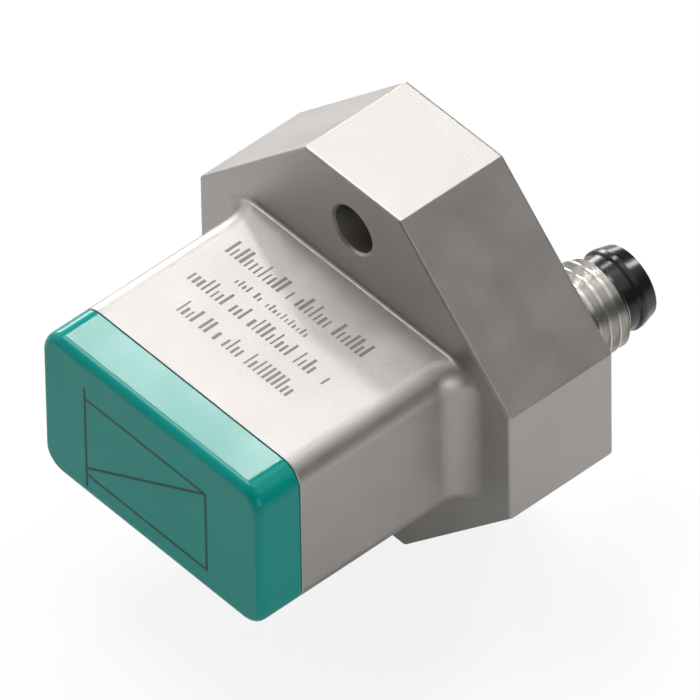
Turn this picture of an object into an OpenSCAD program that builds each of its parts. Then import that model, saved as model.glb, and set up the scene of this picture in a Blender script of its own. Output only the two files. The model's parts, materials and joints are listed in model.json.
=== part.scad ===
// Flange-mounted inductive position sensor: a steel block with a moulded sensing cap at the
// front and a threaded three-pin connector at the back.
// The origin is the centre of the flange's front face. +Z is up, and +Y points from the
// sensing cap towards the connector.

/* [Flange] */
// Width of the flange across its side flats
flange_w = 36; // [35:0.5:46]
// Height of the flange across its top and bottom flats
flange_h = 36; // [35:0.5:46]
// Thickness of the flange
flange_t = 10.8; // [9:0.1:14]
// Length of flat that each corner chamfer takes off
flange_chamfer = 12.5; // [6:0.5:13]
// Broken edge around both faces of the flange
edge_break = 0.3; // [0.1:0.05:0.6]
// Diameter of the two screw holes, a fine clearance on M4
screw_hole_d = 4.3; // [4.2:0.1:5.5]
// Distance between the two screw holes
screw_pitch = 26; // [23:0.5:28]

/* [Snout] */
// Width of the snout
snout_w = 25.2; // [24:0.1:30]
// Height of the snout
snout_h = 15; // [14:0.1:18]
// Length of steel in front of the flange
snout_l = 16.8; // [16.4:0.1:26]
// Radius of the four long edges
snout_r = 2.05; // [1.6:0.05:3]
// Radius of the fillets where the snout's sides meet the flange
root_r = 2.5; // [1:0.1:3]
// Wall around the cavity
snout_wall = 1.6; // [1.3:0.1:2]
// Radius of the cavity's milled corners
cavity_r = 1.5; // [1:0.1:2]
// Depth of the cavity behind the flange's front face
cavity_depth = 6; // [5:0.1:7]
// Wall around the seat that takes the cap's spigot
seat_wall = 0.9; // [0.7:0.1:1.1]
// Depth of that seat
seat_depth = 3; // [2.4:0.1:4]

/* [Sensing cap] */
// Thickness of the cap that shows in front of the steel
cap_t = 4.4; // [3.8:0.1:7]
// Rounding of the cap's front outline
cap_edge = 0.7; // [0.3:0.05:1.2]
// Thickness of the sensing face
face_t = 1.2; // [0.8:0.1:1.6]
// Length of the spigot inside the steel
spigot_l = 2.4; // [1.8:0.1:2.8]
// Wall of the spigot
spigot_wall = 1.2; // [0.8:0.1:1.4]
// Width and depth of the fine groove at the seam
seam_groove = 0.15; // [0.05:0.05:0.3]

/* [Boards] */
// Thickness of both circuit boards
board_t = 1; // [0.8:0.1:1.2]
// Thickness of the printed coil track
track_t = 0.1; // [0.07:0.01:0.2]
// Width of the printed coil track
track_w = 0.22; // [0.15:0.01:0.25]
// Pitch of the coil's turns
track_pitch = 0.44; // [0.4:0.01:0.5]
// Turns of each coil
coil_turns = 4; // [2:1:4]
// Thickness of the ferrite plate behind the coils
ferrite_t = 1.2; // [0.8:0.1:1.6]
// Depth of the carrier's front ring
ring_d = 1.5; // [1:0.1:2]
// Height of the main board's underside above the carrier's foot
board_lift = 0.85; // [0.8:0.05:1.2]
// Distance from the flange's front face back to the main board's rear end
board_rear = 1; // [0.5:0.1:1.5]
// Pins in the header between the boards
header_pins_n = 6; // [4:1:6]
// Pitch of the header's pins
header_pitch = 2; // [1.5:0.25:2.25]

/* [Connector] */
// Sideways place of the connector's axis
conn_x = 9.05; // [8:0.05:9.6]
// Outer radius of the connector's thread
thread_r = 4; // [3.9:0.1:4.4]
// Length of the threaded part behind the flange
thread_l = 6.95; // [4.5:0.05:8]
// Radius of the nose behind the thread
nose_r = 3.35; // [3.2:0.05:3.4]
// Length of the nose behind the thread
nose_l = 2.85; // [2.4:0.05:5]
// Height of the ridge around the nose that a push-on plug snaps over
nose_ridge = 0.2; // [0.1:0.05:0.25]
// Radius of the open socket
socket_r = 2.65; // [2.6:0.05:2.75]
// Depth of the open socket
socket_d = 7; // [5:0.1:8]
// Wall of the threaded sleeve inside its thread
sleeve_bore_r = 3.1; // [3:0.05:3.2]
// Radius of the collar that is pressed into the flange
collar_r = 4.3; // [4.2:0.1:4.8]
// Depth of the bore that takes the collar
collar_bore_d = 3.6; // [3.2:0.1:4]
// Radius of a contact pin
pin_r = 0.5; // [0.4:0.05:0.6]
// Radius of the circle that the contact pins stand on
pin_circle_r = 1.5; // [1.3:0.05:1.6]
// Distance from the nose's end in to the pins' tips
pin_recess = 1.2; // [0.8:0.1:2]
// Radius of a lead's jacket
lead_r = 0.5; // [0.35:0.05:0.55]

/* [Hidden] */

$fn = 64;
// Overcut of a tool past the face that it opens
cut = 1;
// Running clearance between pieces that slide together
fit = 0.05;

// Planes along Y, from the cap's front face back to the connector's end
front_y = -snout_l - cap_t;
face_back_y = front_y + face_t;
board_front_y = face_back_y + track_t;
ferrite_y = board_front_y + board_t;
ring_y = ferrite_y + ferrite_t;
ring_back_y = ring_y + ring_d;
main_front_y = ring_back_y + 4 * fit;
nose_end_y = flange_t + thread_l + nose_l;
socket_floor_y = nose_end_y - socket_d;
bore_floor_y = flange_t - collar_bore_d;

// Sections across the snout
cavity_w = snout_w - 2 * snout_wall;
cavity_h = snout_h - 2 * snout_wall;
seat_w = snout_w - 2 * seat_wall;
seat_h = snout_h - 2 * seat_wall;
seat_r = snout_r - seat_wall;
pocket_w = seat_w - 2 * fit - 2 * spigot_wall;
pocket_h = seat_h - 2 * fit - 2 * spigot_wall;
pocket_r = 1;
inner_w = pocket_w - 4 * fit;
inner_h = pocket_h - 4 * fit;

// Levels of the main board
foot_z = -inner_h / 2;
board_z = foot_z + board_lift;
board_top_z = board_z + board_t;

// Carrier rails and the board that they hold
rail_w = 1.5;
rail_h = 3;
rail_grip = 0.8;
rim = 1.65;
bar_d = 1;
main_w = inner_w - 2 * rail_w + 2 * rail_grip;
rail_rear_y = board_rear + 0.5;

// Header between the boards, with its pins' height above the main board and their run behind it
header_h = 2.5;
header_d = 2.5;
header_rise = 1.27;
header_run = 0.7;
header_pin_z = board_top_z + header_rise;
header_pin_w = 0.5;
header_hole_r = 0.4;
header_x = [for (i = [0:header_pins_n - 1]) (i - (header_pins_n - 1) / 2) * header_pitch];
header_tail_y = main_front_y + header_d + header_run;

// Components: each body's width, depth and height, and its centre on the main board
MCU_BODY = [6.6, 6.6, 1];
MCU_AT = [-4, header_tail_y + 4.6];
DUAL_ROW_BODY = [4.9, 3.6, 1.3];
AMPLIFIER_AT = [4.4, header_tail_y + 3.2];
DRIVER_AT = [3.4, board_rear - 5];
REGULATOR_BODY = [4.4, 2.4, 1.4];
REGULATOR_TAB = [1.8, 1, 0.3];
REGULATOR_AT = [-6, board_rear - 2.6];
DIODE_BODY = [4.2, 2.4, 1.9];
DIODE_CLIPS = [5, 1.3, 0.9];
DIODE_AT = [7.2, board_rear - 5.2];
CHOKE_BODY = [3.7, 3.7, 2];
CHOKE_CLIPS = [4, 2.6, 0.3];
CHOKE_AT = [-1.8, board_rear - 2.4];
CRYSTAL_BASE = [3.2, 2.5, 0.4];
CRYSTAL_LID = [2.8, 2.1, 0.3];
CRYSTAL_AT = [0, board_rear - 3.6];
CAPACITOR_BODY = [1.6, 0.8, 0.7];
CAPACITOR_ROW_Y = header_tail_y + 2.5;
RESISTOR_BODY = [1.6, 0.8, 0.45];
RESISTOR_ROW_Y = header_tail_y + 4.8;

// Contact pins around the connector's axis, and the leads' holes in the main board
PIN_ANGLES = [60, 300, 180];
LEAD_HOLES = [6.2, 7.6, 4.8];
LEAD_ROUTES = [[[conn_x + 0.15, 1.4, 1.3], [conn_x - 1.85, 0.1, 0.6], [6.3, 0, -1.2]],
               [[conn_x + 0.15, 1.3, -1.3], [conn_x - 1.35, 0.2, -1.9]],
               [[conn_x - 2.25, 1.9, -0.4], [5.4, 0.7, -1.4]]];
lead_hole_y = board_rear - 1;
lead_hole_r = 0.4;
wire_r = 0.25;
passage_gap = 0.4;
cup_r = 0.65;
cup_l = 2;
cup_bore_d = 1.4;
carrier_y = cavity_depth - 1;
pin_end_y = carrier_y - cup_l;

// Lip of the contact carrier behind the sleeve's collar, and the groove for the sleeve's seal
carrier_lip = 1;
lip_back_y = bore_floor_y + carrier_lip;
seal_depth = 0.55;
seal_width = 0.8;

// A rectangle with round corners, centred on the origin
module round_rect(w, h, r) {
    square([w - 2 * r, h], center = true);
    square([w, h - 2 * r], center = true);
    for (x = [-1, 1], y = [-1, 1])
        translate([x * (w / 2 - r), y * (h / 2 - r)])
            circle(r = r);
}

// A bar of that section that runs from y0 to y1
module round_bar(w, h, r, y0, y1) {
    translate([0, y1, 0])
        rotate([90, 0, 0])
            linear_extrude(height = y1 - y0)
                round_rect(w, h, r);
}

// A rod along Y from y0 to y1, with its end radii
module rod(r, y0, y1, r_end = undef) {
    translate([0, y0, 0])
        rotate([-90, 0, 0])
            cylinder(h = y1 - y0, r1 = r, r2 = is_undef(r_end) ? r : r_end);
}

// A plate as thick as the flange with broken edges, turned about Y
module flange_slab(across, turn) {
    reach = flange_w + flange_h;
    a = across / 2;
    rotate([0, turn, 0])
        translate([0, 0, -reach / 2])
            linear_extrude(height = reach)
                polygon([[-a + edge_break, 0], [a - edge_break, 0], [a, edge_break],
                         [a, flange_t - edge_break], [a - edge_break, flange_t],
                         [-a + edge_break, flange_t], [-a, flange_t - edge_break],
                         [-a, edge_break]]);
}

// The eight-sided flange with all its edges broken
module flange_blank() {
    across = (flange_w + flange_h - 2 * flange_chamfer) / sqrt(2);
    intersection_for (side = [[flange_w, 0], [flange_h, 90], [across, 45], [across, 135]])
        flange_slab(side[0], side[1]);
}

// One root fillet: the snout's wall with its rounded long edges, swept outwards to the flange
module root_fillet() {
    wall = 2 * (snout_r + cut);
    translate([snout_w / 2 + root_r, -root_r, 0])
        rotate([0, 0, 90])
            rotate_extrude(angle = 90)
                translate([root_r + wall / 2, 0])
                    round_rect(wall, snout_h, snout_r);
}

// The snout's root: a block between the two fillets, kept within the flange's outline
module snout_root() {
    half = snout_w / 2 - snout_r - cut / 2;
    intersection() {
        union() {
            root_fillet();
            mirror([1, 0, 0])
                root_fillet();
            translate([-half, -root_r, -snout_h / 2])
                cube([2 * half, root_r + cut, snout_h]);
        }
        translate([0, -root_r, 0])
            flange_blank();
    }
}

// Machined from one block: flange, snout, cavity, cap seat, screw holes and connector bore
module housing() {
    color([0.76, 0.74, 0.71])
        difference() {
            union() {
                flange_blank();
                round_bar(snout_w, snout_h, snout_r, -snout_l, -root_r);
                snout_root();
            }
            round_bar(cavity_w, cavity_h, cavity_r, -snout_l - cut, cavity_depth);
            round_bar(seat_w, seat_h, seat_r, -snout_l - cut, seat_depth - snout_l);
            for (side = [-1, 1])
                translate([0, 0, side * screw_pitch / 2])
                    rod(screw_hole_d / 2, -cut, flange_t + cut);
            translate([conn_x, 0, 0]) {
                rod(collar_r, bore_floor_y, flange_t + cut);
                rod(sleeve_bore_r + passage_gap, carrier_y - passage_gap, bore_floor_y + cut);
            }
        }
}

// The cap's outside, with a rounded front outline
module cap_shell() {
    inset = 2 * cap_edge;
    round_bar(snout_w, snout_h, snout_r, front_y + cap_edge, -snout_l - seam_groove);
    round_bar(snout_w - inset, snout_h - inset, snout_r - cap_edge, front_y, -snout_l);
    for (x = [-1, 1], z = [-1, 1])
        translate([x * (snout_w / 2 - snout_r), front_y + cap_edge, z * (snout_h / 2 - snout_r)])
            rotate([90, 0, 0])
                rotate_extrude()
                    translate([snout_r - cap_edge, 0])
                        circle(r = cap_edge);
    for (x = [-1, 1])
        translate([x * (snout_w / 2 - cap_edge), front_y + cap_edge, 0])
            cylinder(h = snout_h - 2 * snout_r, r = cap_edge, center = true);
    for (z = [-1, 1])
        translate([0, front_y + cap_edge, z * (snout_h / 2 - cap_edge)])
            rotate([0, 90, 0])
                cylinder(h = snout_w - 2 * snout_r, r = cap_edge, center = true);
}

// Moulded cap: sensing face, skirt and the spigot that seats in the steel
module sensing_cap() {
    color([0.16, 0.55, 0.49])
        difference() {
            union() {
                cap_shell();
                round_bar(snout_w - 2 * seam_groove, snout_h - 2 * seam_groove,
                          snout_r - seam_groove, front_y + 2 * cap_edge, -snout_l);
                round_bar(seat_w - 2 * fit, seat_h - 2 * fit, seat_r - fit,
                          -snout_l - cut, spigot_l - snout_l);
            }
            round_bar(pocket_w, pocket_h, pocket_r, face_back_y, spigot_l - snout_l + cut);
        }
}

// Gasket between the spigot's end and the shoulder of its seat
module cap_seal() {
    color([0.1, 0.1, 0.1])
        difference() {
            round_bar(seat_w - 2 * fit, seat_h - 2 * fit, seat_r - fit,
                      spigot_l - snout_l, seat_depth - snout_l);
            round_bar(cavity_w, cavity_h, cavity_r, spigot_l - snout_l - cut,
                      seat_depth - snout_l + cut);
        }
}

// Board behind the sensing face that carries the printed coils
module coil_board() {
    color([0.1, 0.32, 0.18])
        difference() {
            round_bar(inner_w, inner_h, pocket_r, board_front_y, ferrite_y);
            for (x = header_x)
                translate([x, 0, header_pin_z])
                    rod(header_hole_r, board_front_y - cut, ferrite_y + cut);
        }
}

// Corner k of a square spiral with half sizes a and b, pushed outwards by side
function spiral_point(k, a, b, side) =
    let (turn = floor(k / 4), step = k % 4,
         sx = step == 1 || step == 2 ? 1 : -1, sz = step >= 2 ? 1 : -1,
         back = step == 0 && turn > 0 ? track_pitch : 0,
         x = a - turn * track_pitch + back, z = b - turn * track_pitch)
    [sx * (x + side), sz * (z + side)];

// One of the four printed coils, counted from the left
module sensing_coil(index) {
    slot = inner_w / 4;
    side_margin = 0.25;
    end_margin = 0.5;
    a = slot / 2 - side_margin;
    b = inner_h / 2 - end_margin;
    corners = [0:4 * coil_turns - 1];
    outer = [for (k = corners) spiral_point(k, a, b, track_w / 2)];
    inner = [for (k = corners) spiral_point(k, a, b, -track_w / 2)];
    last = 4 * coil_turns - 1;
    color([0.8, 0.5, 0.25])
        translate([(index - 2.5) * slot, board_front_y, 0])
            rotate([90, 0, 0])
                linear_extrude(height = track_t)
                    polygon(concat(outer, [for (k = corners) inner[last - k]]));
}

module sensing_coil_1() {
    sensing_coil(1);
}

module sensing_coil_2() {
    sensing_coil(2);
}

module sensing_coil_3() {
    sensing_coil(3);
}

module sensing_coil_4() {
    sensing_coil(4);
}

// Ferrite that keeps the coils' field off the steel and the electronics
module ferrite_plate() {
    slot_w = header_x[header_pins_n - 1] * 2 + 2;
    slot_h = 1.8;
    color([0.2, 0.2, 0.21])
        difference() {
            round_bar(inner_w, inner_h, pocket_r, ferrite_y, ring_y);
            translate([-slot_w / 2, ferrite_y - cut, header_pin_z - slot_h / 2])
                cube([slot_w, ferrite_t + 2 * cut, slot_h]);
        }
}

// Moulded carrier: a ring behind the ferrite, two grooved rails and a bar at the back
module board_carrier() {
    window_w = inner_w - 2 * rim;
    window_h = inner_h - 2 * rim;
    color([0.85, 0.84, 0.8])
        difference() {
            round_bar(inner_w, inner_h, pocket_r, ring_y, rail_rear_y);
            translate([-window_w / 2, ring_y - cut, -window_h / 2])
                cube([window_w, ring_d + 2 * cut, window_h]);
            translate([-inner_w / 2 - cut, ring_back_y, foot_z + rail_h])
                cube([inner_w + 2 * cut, rail_rear_y - ring_back_y + cut, inner_h]);
            translate([-inner_w / 2 + rail_w, ring_back_y, foot_z - cut])
                cube([inner_w - 2 * rail_w, rail_rear_y - bar_d - ring_back_y, inner_h]);
            translate([-inner_w / 2 + rail_w, ring_back_y, board_z - fit])
                cube([inner_w - 2 * rail_w, rail_rear_y - ring_back_y + cut, inner_h]);
            translate([-main_w / 2 - fit, ring_back_y, board_z - fit])
                cube([main_w + 2 * fit, rail_rear_y - ring_back_y + cut, board_t + 2 * fit]);
        }
}

// Main board that slides into the rails
module main_board() {
    color([0.1, 0.32, 0.18])
        difference() {
            translate([-main_w / 2, main_front_y, board_z])
                cube([main_w, board_rear - main_front_y, board_t]);
            for (x = header_x)
                translate([x, header_tail_y, board_z - cut])
                    cylinder(h = board_t + 2 * cut, r = header_hole_r);
            for (x = LEAD_HOLES)
                translate([x, lead_hole_y, board_z - cut])
                    cylinder(h = board_t + 2 * cut, r = lead_hole_r);
        }
}

// A block that stands on the origin
module block(size) {
    translate([-size[0] / 2, -size[1] / 2, 0])
        cube(size);
}

// One bent lead of a chip: its foot lies on the board and it enters the body at x = 0
module chip_lead(reach, rise, w) {
    t = 0.15;
    root = 0.2;
    translate([0, w / 2, 0])
        rotate([90, 0, 0])
            linear_extrude(height = w)
                polygon([[-root, rise], [-root, rise + t], [reach * 0.45, rise + t],
                         [reach * 0.6, t], [reach, t], [reach, 0], [reach * 0.5, 0],
                         [reach * 0.35, rise]]);
}

// A chip on the main board, with a row of leads on each side that is named by its turn
module chip(at, size, leads, pitch, reach, sides) {
    stand = 0.1;
    translate([at[0], at[1], board_top_z]) {
        translate([0, 0, stand])
            block(size);
        for (turn = sides, i = [0:leads - 1])
            rotate([0, 0, turn])
                translate([(turn % 180 == 0 ? size[0] : size[1]) / 2,
                           (i - (leads - 1) / 2) * pitch, 0])
                    chip_lead(reach, stand + size[2] / 2, pitch * 0.4);
    }
}

module microcontroller() {
    color([0.12, 0.12, 0.13])
        chip(MCU_AT, MCU_BODY, leads = 8, pitch = 0.7, reach = 0.9, sides = [0, 90, 180, 270]);
}

module signal_amplifier() {
    color([0.12, 0.12, 0.13])
        chip(AMPLIFIER_AT, DUAL_ROW_BODY, leads = 4, pitch = 1.1, reach = 0.9, sides = [90, 270]);
}

module output_driver() {
    color([0.12, 0.12, 0.13])
        chip(DRIVER_AT, DUAL_ROW_BODY, leads = 4, pitch = 1.1, reach = 0.9, sides = [90, 270]);
}

// Regulator with three leads and a wide tab
module voltage_regulator() {
    tab_bite = 0.2;
    tab_y = (REGULATOR_BODY[1] + REGULATOR_TAB[1]) / 2 - tab_bite;
    color([0.12, 0.12, 0.13]) {
        chip(REGULATOR_AT, REGULATOR_BODY, leads = 3, pitch = 1.4, reach = 0.7, sides = [270]);
        translate([REGULATOR_AT[0], REGULATOR_AT[1] + tab_y, board_top_z])
            block(REGULATOR_TAB);
    }
}

// A block with a solderable cap on each end, lying along X
module two_terminal(size, end_l) {
    skin = 0.04;
    translate([0, 0, skin])
        block([size[0] - end_l, size[1] - 2 * skin, size[2] - 2 * skin]);
    for (x = [-1, 1])
        translate([x * (size[0] - end_l) / 2, 0, 0])
            block([end_l, size[1], size[2]]);
}

// Diode whose body stands clear of the board on two clips
module protection_diode() {
    stand = 0.15;
    color([0.12, 0.12, 0.13])
        translate([DIODE_AT[0], DIODE_AT[1], board_top_z])
            rotate([0, 0, 90]) {
                translate([0, 0, stand])
                    block(DIODE_BODY);
                two_terminal(DIODE_CLIPS, end_l = 0.9);
            }
}

// Shielded choke in the supply line, with its core proud of the shield
module filter_choke() {
    stand = 0.2;
    corner_r = 0.9;
    core_r = 1.3;
    color([0.25, 0.24, 0.24])
        translate([CHOKE_AT[0], CHOKE_AT[1], board_top_z]) {
            two_terminal(CHOKE_CLIPS, end_l = 0.9);
            translate([0, 0, stand])
                linear_extrude(height = CHOKE_BODY[2])
                    round_rect(CHOKE_BODY[0], CHOKE_BODY[1], corner_r);
            cylinder(h = CHOKE_BODY[2] + 2 * stand, r = core_r);
        }
}

// Crystal under the main board: a lid on a ceramic base
module clock_crystal() {
    color([0.75, 0.73, 0.68])
        translate([CRYSTAL_AT[0], CRYSTAL_AT[1], board_z])
            mirror([0, 0, 1]) {
                block(CRYSTAL_BASE);
                block([CRYSTAL_LID[0], CRYSTAL_LID[1], CRYSTAL_BASE[2] + CRYSTAL_LID[2]]);
            }
}

// A row of equal blocks under the main board
module chip_row(n, pitch, y, size) {
    for (i = [0:n - 1])
        translate([(i - (n - 1) / 2) * pitch, y, board_z - size[2]])
            two_terminal(size, end_l = 0.35);
}

module capacitors() {
    color([0.62, 0.48, 0.34])
        chip_row(6, 2.5, CAPACITOR_ROW_Y, CAPACITOR_BODY);
}

module resistors() {
    color([0.15, 0.15, 0.16])
        chip_row(7, 2.2, RESISTOR_ROW_Y, RESISTOR_BODY);
}

// Insulating bar of the header, with a way through for each pin
module header_body() {
    bar_w = header_x[header_pins_n - 1] * 2 + header_pitch;
    color([0.1, 0.1, 0.1])
        difference() {
            translate([-bar_w / 2, main_front_y, board_top_z])
                cube([bar_w, header_d, header_h]);
            for (x = header_x)
                translate([x - header_pin_w / 2, main_front_y - cut, header_pin_z - header_pin_w / 2])
                    cube([header_pin_w, header_d + 2 * cut, header_pin_w]);
        }
}

// Angled pins from the coil board through the bar and down through the main board
module header_pins() {
    half = header_pin_w / 2;
    start_y = board_front_y + 0.2;
    tail_z = board_z - 0.5;
    color([0.85, 0.7, 0.4])
        for (x = header_x)
            translate([x - half, 0, 0]) {
                translate([0, start_y, header_pin_z - half])
                    cube([header_pin_w, header_tail_y - start_y + half, header_pin_w]);
                translate([0, header_tail_y - half, tail_z])
                    cube([header_pin_w, header_pin_w, header_pin_z - tail_z]);
            }
}

// Threaded sleeve: a pressed collar with a seal groove, a neck and the thread's envelope
module connector_sleeve() {
    bite = 0.6;
    end_y = flange_t + thread_l;
    color([0.8, 0.79, 0.76])
        translate([conn_x, 0, 0])
            difference() {
                union() {
                    rod(collar_r, lip_back_y, flange_t);
                    rod(thread_r - bite, flange_t - cut, end_y);
                    rod(thread_r, flange_t + bite, end_y - bite);
                    rod(thread_r, end_y - bite, end_y, thread_r - bite);
                }
                rod(sleeve_bore_r, lip_back_y - cut, end_y + cut);
                translate([0, (lip_back_y + flange_t) / 2, 0])
                    seal_groove();
            }
}

// Ring of space for the sleeve's seal
module seal_groove() {
    difference() {
        rod(collar_r + cut, -seal_width / 2, seal_width / 2);
        rod(collar_r - seal_depth, -seal_width, seal_width);
    }
}

// O-ring in the groove of the sleeve's collar
module sleeve_seal() {
    play = 0.01;
    color([0.1, 0.1, 0.1])
        translate([conn_x, (lip_back_y + flange_t) / 2, 0])
            rotate([90, 0, 0])
                rotate_extrude()
                    translate([collar_r - seal_depth / 2, 0])
                        circle(r = seal_depth / 2 - play, $fn = 24);
}

// Runs its children once at each contact pin's axis
module at_pin(index) {
    angle = PIN_ANGLES[index];
    translate([conn_x + pin_circle_r * cos(angle), 0, pin_circle_r * sin(angle)])
        children();
}

// Outside of the nose: a neck, a snap ridge half way and a taper to the open end
module nose() {
    ridge_y = nose_end_y - nose_l / 2;
    ridge_r = nose_r + nose_ridge;
    taper = 0.1;
    rod(nose_r, nose_end_y - nose_l, ridge_y);
    rod(nose_r, ridge_y - 2 * nose_ridge, ridge_y - nose_ridge, ridge_r);
    rod(ridge_r, ridge_y - nose_ridge, ridge_y + nose_ridge);
    rod(ridge_r, ridge_y + nose_ridge, nose_end_y, nose_r - taper);
}

// Moulded insulator: a plug with a lip, a tube through the sleeve and the open nose
module contact_carrier() {
    key_w = 0.8;
    key_h = 0.65;
    key_bite = 0.2;
    color([0.09, 0.09, 0.09])
        difference() {
            translate([conn_x, 0, 0])
                union() {
                    difference() {
                        union() {
                            rod(sleeve_bore_r - fit, carrier_y, nose_end_y - nose_l);
                            rod(collar_r - fit, bore_floor_y, lip_back_y);
                            nose();
                        }
                        rod(socket_r, socket_floor_y, nose_end_y + cut);
                    }
                    translate([-key_w / 2, socket_floor_y - key_bite, -socket_r - key_bite])
                        cube([key_w, socket_d - 1, key_h]);
                }
            for (index = [0:2])
                at_pin(index)
                    rod(pin_r, carrier_y - cut, socket_floor_y + cut);
        }
}

// Contact pin: a round-nosed pin in the socket and a solder cup behind the carrier
module contact_pin(index) {
    tip_y = nose_end_y - pin_recess;
    overlap = 0.5;
    play = 0.1;
    color([0.86, 0.72, 0.38])
        at_pin(index)
            difference() {
                union() {
                    rod(pin_r, carrier_y - overlap, tip_y - pin_r);
                    translate([0, tip_y - pin_r, 0])
                        sphere(r = pin_r);
                    rod(cup_r, pin_end_y, carrier_y);
                }
                rod(wire_r + play, pin_end_y - cut, pin_end_y + cup_bore_d);
            }
}

module contact_pin_1() {
    contact_pin(0);
}

module contact_pin_3() {
    contact_pin(1);
}

module contact_pin_4() {
    contact_pin(2);
}

// Catmull-Rom curve through four points at t from 0 to 1
function curve_point(a, b, c, d, t) =
    0.5 * (2 * b + (c - a) * t + (2 * a - 5 * b + 4 * c - d) * t * t
           + (3 * b - a - 3 * c + d) * t * t * t);

// The route's points with two more between each pair
function smooth_route(p) =
    let (last = len(p) - 1, steps = 3)
    concat([for (i = [0:last - 1], k = [0:steps - 1])
                curve_point(p[max(i - 1, 0)], p[i], p[i + 1], p[min(i + 2, last)], k / steps)],
           [p[last]]);

// A ring of points of radius r around the route at point i
function route_ring(p, i, r, sides) =
    let (last = len(p) - 1,
         along = p[min(i + 1, last)] - p[max(i - 1, 0)],
         u = cross(along, [1, 0, 0]) / norm(cross(along, [1, 0, 0])),
         v = cross(along, u) / norm(along))
    [for (k = [0:sides - 1]) p[i] + r * (cos(360 * k / sides) * u + sin(360 * k / sides) * v)];

// A round wire along the points p, with a ring at each [point, radius] of the steps
module wire(p, steps) {
    sides = 8;
    last = len(steps) - 1;
    rings = [for (s = steps) each route_ring(p, s[0], s[1], sides)];
    walls = [for (i = [0:last - 1], k = [0:sides - 1])
                let (a = i * sides + k, b = i * sides + (k + 1) % sides)
                each [[a, b, b + sides], [a, b + sides, a + sides]]];
    start = [for (k = [1:sides - 2]) [0, k + 1, k]];
    end = [for (k = [1:sides - 2]) [0, k, k + 1] + last * sides * [1, 1, 1]];
    polyhedron(rings, concat(walls, start, end));
}

// A jacketed lead from a pin's solder cup to its hole in the main board
module lead(index) {
    angle = PIN_ANGLES[index];
    in_cup = 1.2;
    out_of_cup = 0.3;
    above_board = 0.4;
    below_board = 0.3;
    bare = 3;
    pin = [conn_x + pin_circle_r * cos(angle), pin_end_y, pin_circle_r * sin(angle)];
    hole = [LEAD_HOLES[index], lead_hole_y, board_top_z];
    route = smooth_route(concat([pin + [0, in_cup, 0], pin - [0, out_of_cup, 0]],
                                LEAD_ROUTES[index],
                                [hole + [0, 0, above_board], hole - [0, 0, board_t + below_board]]));
    last = len(route) - 1;
    wire(route, concat([for (i = [0:bare]) [i, wire_r]],
                       [for (i = [bare:last - bare]) [i, lead_r]],
                       [for (i = [last - bare:last]) [i, wire_r]]));
}

module lead_brown() {
    color([0.38, 0.22, 0.12])
        lead(0);
}

module lead_blue() {
    color([0.1, 0.25, 0.6])
        lead(1);
}

module lead_black() {
    color([0.08, 0.08, 0.08])
        lead(2);
}

housing();
sensing_cap();
cap_seal();
coil_board();
sensing_coil_1();
sensing_coil_2();
sensing_coil_3();
sensing_coil_4();
ferrite_plate();
board_carrier();
main_board();
microcontroller();
signal_amplifier();
output_driver();
voltage_regulator();
protection_diode();
filter_choke();
clock_crystal();
capacitors();
resistors();
header_body();
header_pins();
connector_sleeve();
contact_carrier();
contact_pin_1();
contact_pin_3();
contact_pin_4();
sleeve_seal();
lead_brown();
lead_blue();
lead_black();
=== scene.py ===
"""Looks of an inductive position sensor: steel body, moulded sensing cap and round connector.

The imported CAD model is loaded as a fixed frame. The steel body, the sensing cap and the threaded
sleeve are rebuilt with finer edges and stand for their CAD nodes. The other CAD nodes keep their
shape and get a procedural finish. Lengths in the classes are in millimetres.
"""

from __future__ import annotations

import json
import logging
import math
from dataclasses import dataclass, field
from enum import Enum
from typing import Any, Sequence

import bmesh
import bpy
from mathutils import Matrix, Vector

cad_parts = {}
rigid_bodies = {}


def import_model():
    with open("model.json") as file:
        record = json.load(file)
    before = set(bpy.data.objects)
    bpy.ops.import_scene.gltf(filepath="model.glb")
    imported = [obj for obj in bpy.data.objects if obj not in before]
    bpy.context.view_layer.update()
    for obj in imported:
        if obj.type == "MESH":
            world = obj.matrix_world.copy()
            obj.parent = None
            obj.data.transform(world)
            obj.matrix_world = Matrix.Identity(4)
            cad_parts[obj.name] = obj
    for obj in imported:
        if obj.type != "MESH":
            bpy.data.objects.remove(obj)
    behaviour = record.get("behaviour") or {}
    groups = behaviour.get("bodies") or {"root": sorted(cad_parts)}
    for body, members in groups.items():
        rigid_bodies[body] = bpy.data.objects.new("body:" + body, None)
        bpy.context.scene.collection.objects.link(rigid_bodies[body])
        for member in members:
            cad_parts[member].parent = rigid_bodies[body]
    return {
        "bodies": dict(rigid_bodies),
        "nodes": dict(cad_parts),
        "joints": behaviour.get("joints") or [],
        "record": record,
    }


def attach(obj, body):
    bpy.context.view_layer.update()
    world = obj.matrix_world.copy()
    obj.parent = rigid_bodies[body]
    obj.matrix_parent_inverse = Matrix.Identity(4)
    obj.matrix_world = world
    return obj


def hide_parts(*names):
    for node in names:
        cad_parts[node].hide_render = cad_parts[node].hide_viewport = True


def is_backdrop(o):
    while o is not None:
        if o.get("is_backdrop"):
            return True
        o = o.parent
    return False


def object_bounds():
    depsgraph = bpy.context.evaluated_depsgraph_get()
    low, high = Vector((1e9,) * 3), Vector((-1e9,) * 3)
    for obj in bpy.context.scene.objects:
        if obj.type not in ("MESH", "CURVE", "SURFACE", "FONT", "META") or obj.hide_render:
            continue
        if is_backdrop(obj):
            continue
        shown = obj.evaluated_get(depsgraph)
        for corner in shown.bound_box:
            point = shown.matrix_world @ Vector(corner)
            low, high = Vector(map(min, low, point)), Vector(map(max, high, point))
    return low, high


LOG = logging.getLogger("position_sensor")
MM = 0.001
BODY = "root"
OVERSHOOT = 1.0  # how far a solid reaches past the face where it is joined or cut
WHITE = (1.0, 1.0, 1.0, 1.0)

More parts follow.
